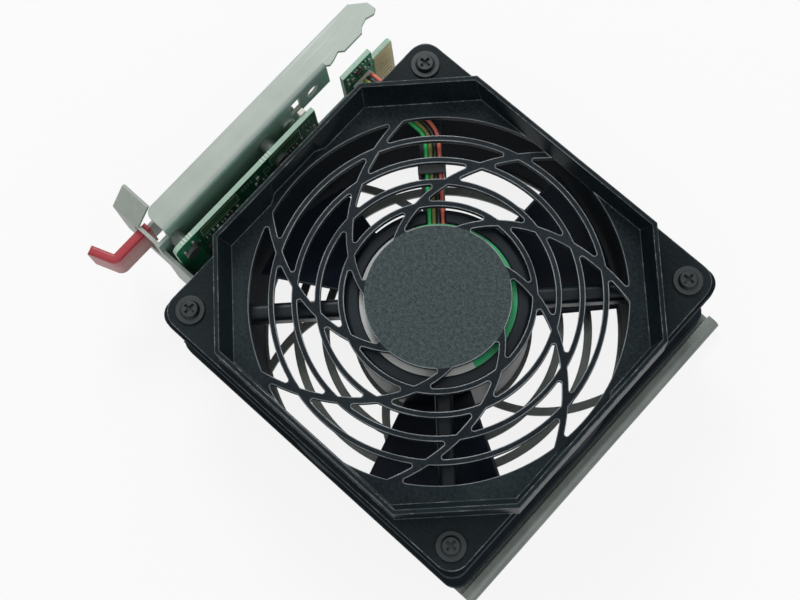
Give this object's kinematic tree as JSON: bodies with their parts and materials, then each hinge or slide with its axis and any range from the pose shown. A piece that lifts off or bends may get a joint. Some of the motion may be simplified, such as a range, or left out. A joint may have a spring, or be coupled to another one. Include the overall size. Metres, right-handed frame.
{
  "type": "server fan module",
  "caption": "Hot-plug cooling fan in a folded steel tray with a spiral finger guard, edge-connector board and sprung red release handle.",
  "frame": {"origin": "on the fan's axis at the outer face of the tray's base plate", "axes": "+Z along the fan's axis from the tray to the finger guard, +Y the way the module slides into its bay, +X from the latch side to the hemmed side"},
  "size_m": [0.1615, 0.1204, 0.0517],
  "materials": {
    "bracket_steel": "zinc plated sheet, satin, light grey",
    "tray_steel": "passivated zinc plate, satin olive grey",
    "fan_plastic": "fine moulded texture",
    "guard_plastic": "smooth satin moulding",
    "blade_plastic": "satin",
    "screw_metal": "zinc plated",
    "plain_steel": "machined or pressed, bright",
    "spring_steel": "blued spring steel, satin",
    "copper_wire": "enamelled copper winding",
    "magnet_rubber": "rubber bonded magnet, matt",
    "board_green": "solder mask over glass laminate",
    "contact_gold": "gold plated, bright",
    "connector_white": "moulded nylon",
    "chip_black": "moulded package, fine grain",
    "label_foil": "printed foil ring, green over silver",
    "lead_green": "PVC insulation",
    "lead_yellow": "PVC insulation",
    "lead_black": "PVC insulation",
    "lead_red": "PVC insulation",
    "clip_grey": "moulded clip",
    "sleeve_red": "dipped vinyl, soft gloss"
  },
  "bodies": {
    "root": {"tray": "tray_steel", "side_bracket": "bracket_steel", "fan_housing": "fan_plastic", "finger_guard": "guard_plastic", "guard_screws": "screw_metal", "bearing_tube": "plain_steel", "bearing_rear": "plain_steel", "bearing_front": "plain_steel", "stator_core": "plain_steel", "stator_coils": "copper_wire", "motor_board": "board_green", "hub_label": "label_foil", "control_board": "board_green", "edge_contacts": "contact_gold", "board_header": "connector_white", "lead_plug": "connector_white", "board_chips": "chip_black", "board_standoffs": "plain_steel", "board_screws": "screw_metal", "lead_green": "lead_green", "lead_yellow": "lead_yellow", "lead_black": "lead_black", "lead_red": "lead_red", "lead_clip": "clip_grey", "latch_rivets": "plain_steel"},
    "rotor": {"impeller": "blade_plastic", "rotor_yoke": "plain_steel", "rotor_magnet": "magnet_rubber", "rotor_shaft": "plain_steel", "shaft_clip": "plain_steel", "preload_washer": "plain_steel"},
    "latch": {"latch_spring": "spring_steel", "latch_handle": "sleeve_red"}
  },
  "joints": [
    {"name": "impeller_spin", "type": "hinge", "parent": "root", "child": "rotor", "pos_m": [0, 0, 0.02], "axis": [0, 0, 1], "continuous": true},
    {"name": "latch_flex", "type": "hinge", "parent": "root", "child": "latch", "pos_m": [-0.0776, 0.012, 0.02805], "axis": [0, 0, 1], "range_deg": [0, 3.8], "stiffness_Nm_per_rad": 1.8}
  ]
}
